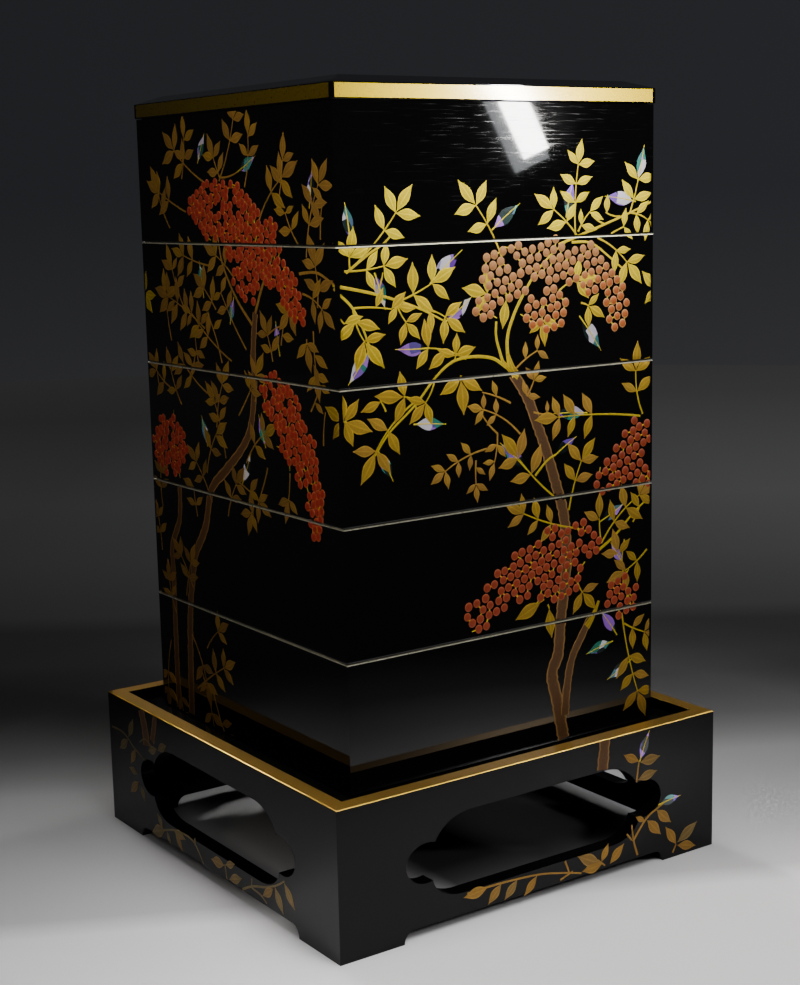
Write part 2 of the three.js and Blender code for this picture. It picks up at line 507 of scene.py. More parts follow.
plates = []
corner_place = lid_side / 2 - (lid_side / 2 - tier_corner) * math.sqrt(2) - tier_corner
for quarter in range(4):
    turn = Matrix.Rotation(quarter * math.pi / 2, 4, "Z")
    plate = edge_plate(f"edge_{quarter}", lid_side - 2 * panel_end)
    plate.data.transform(turn)
    stripe = edge_plate(f"corner_{quarter}", stripe_width)
    inwards = Matrix.Translation((0, corner_place, 0))
    stripe.data.transform(turn @ Matrix.Rotation(-math.pi / 4, 4, "Z") @ inwards)
    plates += [plate, stripe]
lid_edge = join_pieces(plates, "lid_gold_edge")
lid_edge.data.materials.append(band_gold)
finish_shading(lid_edge)
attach(lid_edge, "root")


# Picture on the tiers: nandina boughs in sprinkled gold, laid over all four sides before the
# tiers are parted, so each tier carries its own share. It is drawn flat on a sheet, where
# the near upright edge is 0, the front runs to 230 and the left side runs to -230.
sheet_side = 230
leaf_slices, berry_slices = 8, 12
berry_radius, berry_pitch = 2.7, 6.1
leaf_stretch, leaf_room, leaf_bend, shell_width = 1.12, 4.2, 0.14, 0.38
seam_margin, picture_gauge = 0.8, 0.18 * MM
stalk_steps, cluster_rows, row_step = 8, 40, 0.87
link_near, link_far, link_share = 4.5, 8.5, 0.55
stem_reach, stem_share, stem_neighbours = 5.2, 0.22, 4
black, white = (0, 0, 0), (1, 1, 1)
random.seed(41)


def powder_nodes(tree, scale, low, high):
    where = put_node(tree, "TexCoord", "Object", {})
    grain = noise_node(tree, where, scale, 4, 0.7)
    return grain, span_node(tree, grain, 0.3, 0.7, low, high)


def across_node(tree):
    layout = put_node(tree, "UVMap", "UV", {}, uv_map="UVMap")
    across = put_node(tree, "SeparateXYZ", "Y", {"Vector": layout})
    return math_node(tree, "ABSOLUTE", math_node(tree, "SUBTRACT", across, 0.5))


def tone_node(tree):
    return put_node(tree, "Attribute", "Fac", {}, attribute_name="tone")


def grain_bump(tree, grain, strength):
    inputs = {"Height": grain, "Strength": strength, "Distance": 0.0001}
    return put_node(tree, "Bump", "Normal", inputs)


def leaf_gold_material():
    material, tree = new_material("picture_gold")
    fill = ramp_node(tree, tone_node(tree), [
        (0.0, (0.17, 0.125, 0.05)), (0.13, (0.30, 0.16, 0.035)), (0.26, (0.41, 0.225, 0.045)),
        (0.4, (0.40, 0.25, 0.024)), (0.6, (0.46, 0.31, 0.017)), (1.0, (0.70, 0.55, 0.006))])
    line = ramp_node(tree, across_node(tree), [
        (0.05, (0.8, 0.8, 0.8)), (0.08, black), (0.36, black), (0.42, white)])
    bright = ramp_node(tree, tone_node(tree), [
        (0.0, (0.28, 0.20, 0.08)), (0.13, (0.40, 0.22, 0.05)), (0.26, (0.54, 0.30, 0.05)),
        (0.4, (0.58, 0.36, 0.03)), (0.6, (0.72, 0.49, 0.035)), (1.0, (0.92, 0.74, 0.05))])
    lined = mix_node(tree, "MIX", line, fill, bright)
    grain, spread = powder_nodes(tree, 1500, 0.72, 1.12)
    patch = powder_nodes(tree, 60, 0.82, 1.05)[1]
    set_shader(material, {
        "Base Color": times(tree, times(tree, lined, spread), patch), "Metallic": 0.92,
        "Roughness": 0.46, "Normal": grain_bump(tree, grain, 0.25)})
    return material


def trunk_material():
    material, tree = new_material("picture_trunk")
    grain, spread = powder_nodes(tree, 1600, 0.0, 1.0)
    dust = ramp_node(tree, spread, [
        (0.0, (0.028, 0.012, 0.004)), (0.5, (0.066, 0.028, 0.008)), (1.0, (0.125, 0.056, 0.015))])
    edge = ramp_node(tree, across_node(tree), [(0.34, black), (0.48, (0.8, 0.8, 0.8))])
    set_shader(material, {
        "Base Color": mix_node(tree, "MIX", edge, dust, (0.30, 0.16, 0.04, 1)), "Metallic": 0.55,
        "Roughness": 0.5, "Normal": grain_bump(tree, grain, 0.3)})
    return material


def berry_material(name, deep, bright, rim, metallic):
    material, tree = new_material(name)
    fill = ramp_node(tree, tone_node(tree), [(0.0, deep), (1.0, bright)])
    ring = ramp_node(tree, across_node(tree), [(0.34, black), (0.45, white)])
    lined = mix_node(tree, "MIX", ring, fill, (*rim, 1))
    grain, spread = powder_nodes(tree, 1200, 0.7, 1.15)
    set_shader(material, {
        "Base Color": times(tree, lined, spread), "Metallic": metallic,
        "Roughness": 0.42, "Specular IOR Level": 0.3, "Normal": grain_bump(tree, grain, 0.25)})
    return material


def shell_material():
    material, tree = new_material("picture_shell")
    where = put_node(tree, "TexCoord", "Object", {})
    flakes = put_node(tree, "TexVoronoi", "Color", {"Vector": where, "Scale": 120})
    hue = ramp_node(tree, put_node(tree, "SeparateXYZ", "X", {"Vector": flakes}), [
        (0.0, (0.008, 0.012, 0.014)), (0.24, (0.02, 0.04, 0.04)), (0.31, (0.03, 0.32, 0.22)),
        (0.44, (0.08, 0.26, 0.28)), (0.51, (0.20, 0.05, 0.50)), (0.66, (0.60, 0.28, 0.95)),
        (0.80, (0.16, 0.08, 0.52)), (0.88, (0.95, 0.90, 1.0))])
    set_shader(material, {
        "Base Color": hue, "Metallic": 0.6, "Roughness": 0.16,
        "Coat Weight": 1.0, "Coat Roughness": 0.04})
    return material


# Red berries run from deep red at tone 0 to orange red at tone 1; the orange is a painted sheen, full on the
# front, less on the right and back, none on the left.
red = (0.165, 0.0095, 0.004), (0.16, 0.018, 0.004), (0.24, 0.05, 0.014)
brown = (0.35, 0.080, 0.011), (0.40, 0.175, 0.062), (0.48, 0.24, 0.09)
paints = {
    "gold": (leaf_gold_material(), "gold_lacquer"),
    "trunk": (trunk_material(), "trunk_lacquer"),
    "red": (berry_material("picture_red", *red, 0.1), "red_lacquer"),
    "brown": (berry_material("picture_brown", *brown, 0.25), "brown_lacquer"),
    "shell": (shell_material(), "shell_inlay")}
drawn = {layer: [] for layer in paints}


def flat_grid(name, columns, rows, place):
    select_none()
    bpy.ops.mesh.primitive_grid_add(x_subdivisions=columns, y_subdivisions=rows, size=1)
    grid = bpy.context.object
    grid.name = name
    for vertex in grid.data.vertices:
        vertex.co = place(vertex.co.x + 0.5, 2 * vertex.co.y)
    grid.data.attributes.new("tone", "FLOAT", "POINT")
    return grid


def leaf_template(name, bend, fullness, dome):
    def place(u, v):
        half = math.sin(math.pi * u ** fullness) ** 1.45
        return u, -dome * (1 - v * v) * half * MM, 0.5 * v * half + bend * u * (1 - u)
    leaf = flat_grid(name, leaf_slices, 2, place)
    set_mode("EDIT")
    select_mesh()
    bpy.ops.mesh.remove_doubles(threshold=0.0001)
    set_mode("OBJECT")
    mesh = leaf.data
    bpy.data.objects.remove(leaf)
    return mesh


def berry_template():
    select_none()
    bpy.ops.mesh.primitive_circle_add(vertices=berry_slices, radius=berry_radius * MM, fill_type="NGON")
    berry = bpy.context.object
    set_mode("EDIT")
    select_mesh()
    for reach, rise in ((0.97, 0.16), (0.80, 0.12), (0.45, 0.10)):
        draw_out(0, 0, rise * MM)
        bpy.ops.transform.resize(value=(reach, reach, 1), center_override=(0, 0, 0))
    set_mode("OBJECT")
    mesh = berry.data
    bpy.data.objects.remove(berry)
    layout = mesh.uv_layers[0].data if mesh.uv_layers else mesh.uv_layers.new(name="UVMap").data
    for loop in mesh.loops:
        away = mesh.vertices[loop.vertex_index].co.xy.length / (berry_radius * MM)
        layout[loop.index].uv = (0.5, 0.5 + 0.5 * away)
    mesh.uv_layers[0].name = "UVMap"
    mesh.attributes.new("tone", "FLOAT", "POINT")
    mesh.transform(Matrix.Rotation(math.pi / 2, 4, "X"))
    return mesh


leaf_shapes = [leaf_template(f"leaf_{n}", n * leaf_bend, 0.94, 0.10) for n in (-1, 0, 1)]
slim_shapes = [leaf_template(f"slim_{n}", n * leaf_bend, 0.9, 0.02) for n in (-1, 1)]
berry_shape = berry_template()
leaf_spots = []


def keep_stroke(layer, mesh, tone):
    mesh.attributes["tone"].data.foreach_set("value", [tone] * len(mesh.vertices))
    drawn[layer].append(mesh)


def stamp(layer, shape, s, z, heading, length, width, level, tone):
    mesh = shape.copy()
    turn = Matrix.Rotation(-math.radians(heading), 4, "Y")
    place = Matrix.Translation((s * MM, -level * MM, z * MM))
    mesh.transform(place @ turn @ Matrix.Diagonal((length, 1, width, 1)))
    keep_stroke(layer, mesh, tone)


def has_room(spots, clear):
    return all(math.dist(spot, other) > clear for spot in spots for other in leaf_spots
               if abs(spot[0] - other[0]) < clear)


def leaf(s, z, heading, length, tone=None):
    length *= leaf_stretch
    for swing, short in ((0, 1), (-14, 1), (14, 1), (0, 0.8), (-25, 0.85), (25, 0.85)):
        turn = math.radians(heading + swing)
        spots = [(s + length * short * t * math.cos(turn), z + length * short * t * math.sin(turn))
                 for t in (0.4, 0.65, 0.9)]
        if has_room(spots, leaf_room):
            break
    else:
        return
    leaf_spots.extend(spots)
    heading, length = heading + swing, length * short
    width = length * random.uniform(0.37, 0.43)
    shape = random.choice(leaf_shapes)
    # Painted light: left without a tone, a leaf is painted brighter and yellower the higher it stands, and
    # darker low down.
    if tone is None:
        tone = min(1.0, max(0.35, 0.45 + (z - 300) / 200))
    tone += random.uniform(-0.1, 0.08)
    stamp("gold", shape, s, z, heading, length * MM, width * MM, random.uniform(0.10, 0.16), tone)


def smooth_line(points, pitch=2.0):
    line = []
    ends = [points[0]] + list(points) + [points[-1]]
    for a, b, c, d in zip(ends, ends[1:], ends[2:], ends[3:]):
        steps = max(1, round(math.dist(b, c) / pitch))
        for step in range(steps):
            t = step / steps
            line.append([0.5 * (2 * q + (r - p) * t + (2 * p - 5 * q + 4 * r - w) * t * t
                                + (3 * q - p - 3 * r + w) * t ** 3) for p, q, r, w in zip(a, b, c, d)])
    line.append(list(points[-1]))
    return line


def strip(layer, points, start, end, level, tone, dome=0.05):
    line = smooth_line([(*p, start + (end - start) * n / (len(points) - 1)) for n, p in enumerate(points)])
    last = len(line) - 1

    def place(u, v):
        index = round(u * last)
        here, before, after = line[index], line[max(index - 1, 0)], line[min(index + 1, last)]
        away = Vector((after[0] - before[0], after[1] - before[1])).normalized()
        half = 0.5 * here[2] * v
        if layer == "trunk":
            half *= 1 + 0.11 * math.sin(2.1 * u * last + here[0]) * math.sin(0.7 * u * last)
        out = level + dome * (1 - v * v)
        return (here[0] - away.y * half) * MM, -out * MM, (here[1] + away.x * half) * MM

    grid = flat_grid("strip", last, 2, place)
    mesh = grid.data
    bpy.data.objects.remove(grid)
    keep_stroke(layer, mesh, tone)


def twig(*points, start=1.5, end=1.0, tone=0.8):
    strip("gold", points, start, end, 0.06 + random.uniform(0, 0.02), tone)


def trunk(points, start, end, level=0.03, dome=0.03):
    strip("trunk", points, start, end, level, 0.5, dome)


def shell(s, z, heading, length):
    length *= leaf_stretch
    shape = random.choice(slim_shapes)
    width = shell_width * length
    stamp("shell", shape, s, z, heading, length * MM, width * MM, random.uniform(0.07, 0.08), 0)
    turn = math.radians(heading)
    bend = (-leaf_bend if shape is slim_shapes[0] else leaf_bend) * shell_width * length
    points = []
    for t in (-0.08, 0.3, 0.65, 1.05):
        across = bend * t * (1 - t)
        points.append((s + length * t * math.cos(turn) - across * math.sin(turn),
                       z + length * t * math.sin(turn) + across * math.cos(turn)))
    strip("gold", points, 0.9, 0.35, 0.10, 0.95)


def spray(s, z, heading, reach, pairs, size, end="leaf", tone=None):
    stalk = max(1.35 * reach - 0.8 * size, 3.0)
    pairs = min(pairs, 1 + int(stalk / 10.5))
    bend = random.choice((-1, 1)) * random.uniform(0.15, 0.55)
    here, angle = [s, z], math.radians(heading) - bend / 2
    points = [tuple(here)]
    for step in range(stalk_steps):
        pace = stalk / stalk_steps
        here = [here[0] + pace * math.cos(angle), here[1] + pace * math.sin(angle)]
        angle += bend / stalk_steps
        points.append(tuple(here))
    twig(*points[::2], start=1.2, end=0.7, tone=0.75 if tone is None else tone)
    pitch = max(10.0, min(0.85 * size, stalk / max(pairs - 0.4, 1)))
    for pair in range(pairs):
        back = (pair * pitch + random.uniform(0.3, 1.2)) / stalk
        index = max(0.0, stalk_steps * (1 - back))
        low = min(int(index), stalk_steps - 1)
        part = index - low
        at = [points[low][k] + (points[low + 1][k] - points[low][k]) * part for k in (0, 1)]
        along = math.degrees(angle - bend * back)
        for side in (-1, 1):
            lean = random.uniform(52, 72)
            leaf(*at, along + side * lean, size * random.uniform(0.82, 1.02), tone)
    if end == "shell":
        shell(*points[-1], math.degrees(angle), size * 1.25)
    elif end == "leaf":
        leaf(*points[-1], math.degrees(angle), size * random.uniform(1.0, 1.12), tone)


def berries(layer, blobs, tones, drop=0.06, slant=12, pitch=berry_pitch, stray=0.5):
    turn = math.radians(slant + random.uniform(-6, 6))
    spots = []
    for row in range(-cluster_rows, cluster_rows + 1):
        for column in range(-cluster_rows, cluster_rows + 1):
            x = (column + 0.5 * (row % 2)) * pitch
            y = row * pitch * row_step
            s = blobs[0][0] + x * math.cos(turn) - y * math.sin(turn)
            z = blobs[0][1] + x * math.sin(turn) + y * math.cos(turn)
            for centre_s, centre_z, wide, tall, tilt in blobs:
                cosine, sine = math.cos(math.radians(tilt)), math.sin(math.radians(tilt))
                along = ((s - centre_s) * cosine + (z - centre_z) * sine) / wide
                across = ((z - centre_z) * cosine - (s - centre_s) * sine) / tall
                if along * along + across * across < 1:
                    spots.append((s + random.uniform(-stray, stray), z + random.uniform(-stray, stray)))
                    break
    spots = [spot for spot in spots if random.random() > drop]
    for s, z in spots:
        size = random.uniform(0.95, 1.05)
        mesh = berry_shape.copy()
        lift = random.uniform(-0.05, 0.0)
        place = Matrix.Translation((s * MM, -lift * MM, z * MM))
        mesh.transform(place @ Matrix.Diagonal((size, 1, size, 1)))
        tone = tones(s, z) if callable(tones) else tones
        keep_stroke(layer, mesh, min(1, max(0, tone + random.uniform(-0.12, 0.12))))
    for s, z in spots:
        near = [spot for spot in spots if link_near < math.dist(spot, (s, z)) < link_far]
        if near and random.random() < link_share:
            other = random.choice(near)
            middle = ((s + other[0]) / 2 + random.uniform(-0.8, 0.8), (z + other[1]) / 2)
            strip("gold", [(s, z), middle, other], 0.8, 0.8, 0.09, 0.9)
        if len(near) < stem_neighbours and random.random() < stem_share:
            away = math.radians(random.uniform(0, 360))
            end = (s + stem_reach * math.cos(away), z + stem_reach * math.sin(away))
            strip("gold", [(s, z), end], 0.8, 0.6, 0.09, 0.9)


def draw_list(sprays, shells, tone=None):
    for entry in sprays:
        spray(*entry, tone=tone)
    for entry in shells:
        shell(*entry)


# Front, tiers 1 and 2
draw_list([
    (8, 378, 45, 42, 2, 15), (9, 378, 92, 14, 1, 14), (114, 378, 122, 38, 2, 15),
    (168, 390, 86, 40, 3, 13), (169, 392, 140, 26, 2, 14), (170, 394, 50, 18, 2, 12),
    (211, 404, 72, 24, 2, 14, "shell"), (211, 404, -20, 20, 2, 13), (190, 398, 150, 14, 1, 10),
    (196, 392, 20, 14, 1, 10), (203, 402, 165, 16, 1, 12)],
    [(9, 396, 98, 16), (107, 398, 35, 20), (161, 404, 75, 18), (214, 411, 172, 20)])
twig((6, 377), (20, 386), (31, 392), (38, 398))
twig((155, 387), (185, 396), (211, 404), (228, 410), start=1.6)
draw_list([
    (5, 378, 5, 28, 2, 14), (40, 360, 22, 28, 2, 16), (55, 355, -20, 22, 2, 14),
    (38, 361, -60, 18, 2, 12), (10, 357, -66, 24, 2, 16), (10, 358, -5, 26, 2, 12),
    (0, 355, -50, 12, 1, 12), (86, 325, 165, 30, 2, 15, "shell"), (78, 325, 80, 10, 1, 14),
    (104, 360, 160, 8, 1, 15), (115, 360, -85, 5, 0, 14), (142, 352, -88, 14, 1, 13),
    (155, 360, 20, 20, 1, 14), (172, 352, -20, 12, 1, 12), (185, 390, -35, 30, 2, 14),
    (64, 316, -120, 20, 1, 14), (26, 366, 70, 16, 1, 13)],
    [(25, 375, -72, 17), (63, 370, 38, 23), (72, 347, 35, 20), (20, 335, -128, 20), (172, 343, -52, 22)])
twig((-4, 371), (20, 366), (38, 361), (55, 355), (70, 348), start=1.8)
twig((-3, 369), (8, 360), (15, 349), (20, 337), (26, 326), start=1.6)
twig((115, 318), (105, 324), (90, 326), (76, 324), (64, 316), (50, 302), (32, 288), (22, 276), start=2.0)
twig((117, 318), (116, 335), (122, 350), (130, 362), start=2.4, end=1.8)
twig((113, 320), (108, 335), (108, 345), start=2.0, end=1.4)
twig((165, 388), (180, 387), (195, 378), (205, 371))
twig((130, 362), (138, 372), (150, 382), (160, 388), start=1.6)
# Painted sheen: the brown berries are painted paler towards the cluster's top and left, where the lamp's haze
# falls.
brown_painted_sheen_tone = lambda s, z: 0.5 + (z - 362) / 40 - (s - 145) / 130
berries("brown", [
    (150, 378, 42, 12, 0), (118, 374, 22, 16, 10), (101, 353, 9, 8, 0), (146, 350, 18, 13, 0),
    (178, 372, 22, 14, -20), (199, 352, 10, 20, 15), (107, 364, 9, 9, 0)], brown_painted_sheen_tone)

# Front, tier 3
draw_list([
    (0, 297, -8, 8, 1, 16), (50, 304, -135, 38, 2, 16), (50, 304, 160, 16, 2, 16),
    (50, 303, -88, 12, 1, 16), (82, 316, -90, 12, 1, 18), (220, 280, 176, 58, 3, 15),
    (222, 281, 100, 30, 2, 15), (150, 238, 135, 38, 2, 17), (162, 228, 70, 32, 2, 15),
    (14, 290, 150, 20, 1, 15), (30, 300, 120, 14, 1, 14)],
    [(25, 277, -62, 16), (50, 291, -5, 18), (175, 286, 176, 21), (128, 258, 138, 21), (152, 263, 30, 16)])
copper = 0.26
for entry in ((125, 278, 150, 30, 2, 10), (108, 280, 130, 20, 2, 10), (118, 297, 160, 22, 2, 9),
              (100, 272, -160, 30, 3, 10), (92, 266, -90, 16, 2, 9), (108, 280, -100, 18, 2, 9),
              (130, 300, 60, 14, 2, 10), (135, 290, -10, 14, 1, 10), (120, 315, 30, 22, 2, 10)):
    spray(*entry, "leaf", copper)
twig((136, 252), (145, 260), (152, 263))
berries("red", [(218, 267, 11, 14, 0), (207, 252, 16, 13, 30), (191, 240, 9, 9, 0), (222, 240, 8, 9, 0)], 1.0)

# Front, tiers 4 and 5
draw_list([
    (168, 216, 160, 40, 3, 13), (188, 204, 38, 40, 3, 15), (188, 204, 95, 20, 1, 14),
    (208, 184, 115, 18, 1, 13), (226, 195, -150, 24, 2, 13), (168, 184, -60, 16, 1, 14),
    (142, 176, -150, 6, 0, 17), (145, 172, -70, 6, 0, 15), (205, 157, -75, 50, 3, 15),
    (207, 150, -25, 22, 2, 13), (214, 214, 60, 16, 1, 13)],
    [(188, 218, 25, 18), (205, 190, 125, 14), (200, 145, 128, 18), (196, 140, 192, 18), (212, 125, 205, 18)])
twig((186, 200), (200, 208), (215, 220), (228, 228), start=1.8)
twig((212, 162), (208, 176), (205, 190), (207, 204), start=1.4)
berries("red", [
    (158, 204, 31, 16, 5), (133, 199, 22, 14, 20), (110, 187, 20, 11, 30), (92, 174, 11, 10, 40),
    (150, 186, 20, 14, -10), (126, 184, 10, 8, 0)], 1.0)
berries("red", [(205, 168, 16, 12, 15)], 1.0)
trunk([(120, 314), (130, 300), (138, 282), (145, 265), (152, 245), (158, 225), (160, 200),
       (158, 180), (155, 160), (153, 140), (148, 128), (152, 110), (157, 85)], 7.0, 9.0, dome=0.01)
trunk([(180, 160), (172, 148), (164, 135), (160, 118), (158, 100)], 5.0, 6.5, 0.035)
strip("gold", [(122, 313), (119, 318), (116, 326)], 6.0, 2.2, 0.07, 0.6)
strip("gold", [(112, 322), (118, 316), (124, 312)], 2.0, 4.0, 0.075, 0.6)
strip("gold", [(176, 153), (181, 159), (186, 168)], 5.0, 1.8, 0.07, 0.6)

# Left side: its gold leaves and red berries take low tones, painted darker as painted shade
left_painted_shade_tone, left_low_painted_shade_tone = 0.26, 0.2
left_rows = {"drop": 0.04, "slant": 80, "pitch": 5.3, "stray": 0.9}
draw_list([
    (-125, 428, 62, 38, 2, 14), (-124, 430, 120, 18, 2, 13), (-124, 430, 10, 26, 0, 14, "shell"),
    (-145, 428, 150, 40, 2, 16), (-80, 405, 40, 36, 2, 16), (-38, 392, 125, 24, 2, 13),
    (-30, 385, 68, 40, 3, 14), (-95, 424, 80, 30, 2, 13), (-168, 410, 160, 36, 2, 15),
    (-60, 410, 75, 30, 2, 14), (-172, 430, 80, 26, 2, 13), (-190, 400, 120, 30, 2, 14),
    (-15, 395, 80, 24, 2, 13)],
    [(-25, 413, 80, 18), (-150, 440, 60, 16)], left_painted_shade_tone)
draw_list([
    (-112, 372, 150, 26, 2, 14), (-150, 340, 160, 46, 3, 15), (-135, 352, 140, 22, 2, 14),
    (-100, 330, 130, 40, 2, 13), (-118, 322, 150, 50, 3, 14), (-70, 325, 110, 20, 2, 13),
    (-45, 360, -130, 14, 1, 14), (-20, 358, 95, 26, 2, 15), (-35, 365, -24, 24, 2, 13),
    (-32, 340, -90, 10, 1, 14), (-25, 345, -85, 26, 2, 13), (-130, 320, 120, 34, 2, 14),
    (-160, 318, 100, 20, 2, 13), (-140, 378, 170, 34, 2, 14), (-175, 350, 120, 30, 2, 14),
    (-60, 335, 70, 20, 2, 12), (-195, 330, 100, 30, 2, 13), (-75, 340, 20, 20, 1, 12)],
    [(-150, 360, 100, 18), (-62, 330, 100, 16), (-118, 345, 70, 14)], left_painted_shade_tone)
twig((-38, 376), (-20, 377), (-5, 372), (0, 370), (10, 368), start=1.6, tone=left_painted_shade_tone)
twig((-88, 352), (-80, 366), (-70, 380), (-62, 392), start=2.4, end=1.4, tone=left_painted_shade_tone)
twig((-92, 345), (-110, 360), (-125, 380), (-130, 400), start=2.0, end=1.2, tone=left_painted_shade_tone)
berries("red", [
    (-122, 410, 42, 18, -5), (-98, 393, 32, 17, -20), (-70, 399, 10, 7, 0), (-98, 374, 18, 15, -30),
    (-72, 384, 24, 14, -40), (-48, 364, 20, 10, -50)], 0.0, **left_rows)
draw_list([
    (-200, 300, 150, 24, 2, 14), (-185, 290, 120, 26, 2, 14), (-175, 305, 60, 26, 2, 13),
    (-150, 300, 150, 34, 2, 14), (-140, 280, 70, 30, 2, 14), (-130, 262, 110, 34, 2, 13),
    (-112, 290, 50, 34, 2, 14), (-105, 262, 40, 30, 2, 14), (-155, 250, 60, 30, 2, 14),
    (-120, 250, -20, 30, 2, 13), (-92, 300, 70, 14, 1, 14), (-30, 300, 60, 22, 2, 13),
    (-18, 282, 80, 22, 1, 13), (-80, 262, -120, 26, 1, 13), (-100, 240, -100, 14, 1, 13),
    (-215, 300, 100, 14, 1, 12), (-55, 262, -100, 20, 1, 13)],
    [(-153, 268, 110, 16), (-110, 250, 60, 18), (-82, 275, 110, 16)], left_painted_shade_tone)
berries("red", [(-204, 262, 24, 19, 10)], 0.0, **left_rows)
berries("red", [(-62, 300, 24, 16, -30), (-44, 277, 22, 18, -45), (-28, 246, 9, 20, 0)], 0.0, **left_rows)
draw_list([
    (-150, 232, 130, 30, 2, 13), (-130, 226, 60, 26, 2, 13), (-170, 220, 100, 22, 2, 13),
    (-218, 220, 90, 24, 2, 12), (-222, 190, 100, 24, 2, 12), (-190, 165, 70, 26, 2, 13),
    (-180, 172, 130, 26, 1, 13), (-205, 150, 110, 24, 2, 12), (-185, 140, -60, 34, 2, 14),
    (-175, 120, -70, 40, 2, 14), (-165, 135, 40, 24, 1, 13), (-215, 130, -100, 34, 2, 13),
    (-180, 105, 30, 40, 2, 14), (-160, 110, -60, 34, 2, 13),
    (-205, 105, -80, 24, 2, 12)], [], left_low_painted_shade_tone)
trunk([(-88, 352), (-92, 330), (-92, 310), (-98, 285), (-110, 270), (-130, 255), (-150, 240),
       (-160, 215), (-175, 195), (-180, 180), (-185, 160), (-188, 130), (-190, 85)], 5.5, 7.5)
trunk([(-193, 238), (-195, 215), (-207, 195), (-207, 175), (-208, 130), (-208, 85)], 5.0, 6.5)


# Right side and back, plainer: a trunk on each, with boughs that carry a few sprays
def bough(points, count, reach=34, size=14, start=2.2):
    twig(*points, start=start, end=1.2)
    line = smooth_line(points)
    for number in range(count):
        place = int((number + 1) / count * (len(line) - 1))
        before, after = line[max(place - 2, 0)], line[min(place + 1, len(line) - 1)]
        along = math.degrees(math.atan2(after[1] - before[1], after[0] - before[0]))
        side = 1 if number % 2 else -1
        lean = side * random.uniform(35, 70) if number < count - 1 else 0
        spray(*line[place], along + lean, reach * random.uniform(0.85, 1.15), 2, size)


trunk([(330, 85), (322, 130), (335, 180), (328, 230), (345, 285)], 8.5, 6.0)
bough([(345, 285), (362, 318), (392, 338), (425, 345)], 7)
bough([(344, 280), (330, 315), (300, 338), (262, 350)], 7)
bough([(345, 285), (350, 335), (338, 385), (352, 425)], 8)
bough([(330, 215), (355, 235), (390, 238)], 5, 32, 14)
bough([(332, 200), (305, 222), (275, 228)], 5, 30, 13)
bough([(228, 410), (245, 416), (262, 410)], 3, 28, 13, 1.6)
bough([(326, 120), (350, 140), (368, 140)], 4, 30, 13)
# Berry tones below are painted sheen, higher on the right side than on the back.
berries("red", [(395, 305, 26, 14, -25), (418, 286, 12, 12, 0)], 0.6)
berries("red", [(285, 312, 22, 12, 20)], 0.6)
berries("brown", [(382, 392, 26, 13, 10), (404, 380, 12, 12, 0)], 0.4)
trunk([(-352, 85), (-345, 130), (-358, 190), (-342, 245), (-350, 300)], 9.0, 6.0)
trunk([(-338, 85), (-330, 120), (-318, 165), (-322, 205)], 6.5, 5.0, 0.035)
bough([(-350, 300), (-375, 330), (-405, 352), (-432, 356)], 7)
bough([(-350, 298), (-330, 335), (-300, 352), (-262, 356)], 7)
bough([(-350, 300), (-352, 350), (-340, 392), (-356, 430)], 8)
bough([(-350, 220), (-378, 240), (-410, 246)], 5, 32, 14)
bough([(-322, 205), (-305, 240), (-280, 262)], 6, 32, 14)
bough([(-334, 110), (-310, 130), (-285, 132)], 4, 30, 13)
berries("red", [(-300, 318, 26, 14, 20), (-278, 300, 12, 14, 0)], 0.3)
berries("red", [(-408, 312, 24, 13, -20)], 0.3)
berries("red", [(-372, 398, 24, 12, -10)], 0.3)


def bend_round(mesh, side, corner, low, high, arris):
    straight = side / 2 - corner
    for vertex in mesh.vertices:
        s, out, z = vertex.co.x / MM, -vertex.co.y / MM, vertex.co.z / MM
        quarter = math.floor(s / side)
        across = s - side * (quarter + 0.5)
        into = max(low + arris - z, z - high + arris, 0)
        out -= arris - math.sqrt(max(arris * arris - into * into, 0))
        past = abs(across) - straight
        if past > 0:
            angle = past / corner * math.pi / 4
            x = math.copysign(straight + (corner + out) * math.sin(angle), across)
            y = -(straight + (corner + out) * math.cos(angle))
        else:
            x, y = across, -(side / 2 + out)
        for turn in range(quarter % 4):
            x, y = -y, x
        vertex.co = (x * MM, y * MM, z * MM)


def cut_flat(place, normal, **settings):
    select_mesh()
    bpy.ops.mesh.bisect(plane_co=place, plane_no=normal, threshold=1e-7, **settings)


def lay_picture(owner, strokes, side, corner, low, high, arris):
    for layer, meshes in strokes.items():
        share = []
        for mesh, bottom, top in meshes:
            if top > low + seam_margin and bottom < high - seam_margin:
                piece = bpy.data.objects.new("stroke", mesh.copy())
                bpy.context.scene.collection.objects.link(piece)
                share.append(piece)
        if not share:
            continue
        picture = join_pieces(share, f"{layer}_picture_{owner}")
        domed = layer in ("red", "brown")
        set_mode("EDIT")
        cut_flat((0, 0, (low + seam_margin) * MM), (0, 0, 1), clear_inner=True, use_fill=domed)
        cut_flat((0, 0, (high - seam_margin) * MM), (0, 0, 1), clear_outer=True, use_fill=domed)
        for edge in range(-2, 3):
            for aside in (-corner, -corner / 2, 0, corner / 2, corner):
                cut_flat(((edge * side + aside) * MM, 0, 0), (1, 0, 0))
        set_mode("OBJECT")
        bend_round(picture.data, side, corner, low, high, arris)
        if not domed:
            apply_modifier(picture, "SOLIDIFY", thickness=picture_gauge, offset=-1)
        picture.data.materials.append(paints[layer][0])
        select_only(picture)
        bpy.ops.object.shade_smooth_by_angle(angle=math.radians(40))
        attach(picture, "root")


def chip(s, z, size):
    for scratch in range(3):
        away = math.radians(random.uniform(0, 360))
        end = (s + size * math.cos(away), z + 0.7 * size * math.sin(away))
        strip("gold", [(s, z), end], 0.5, 0.15, 0.02, 0.8, 0)


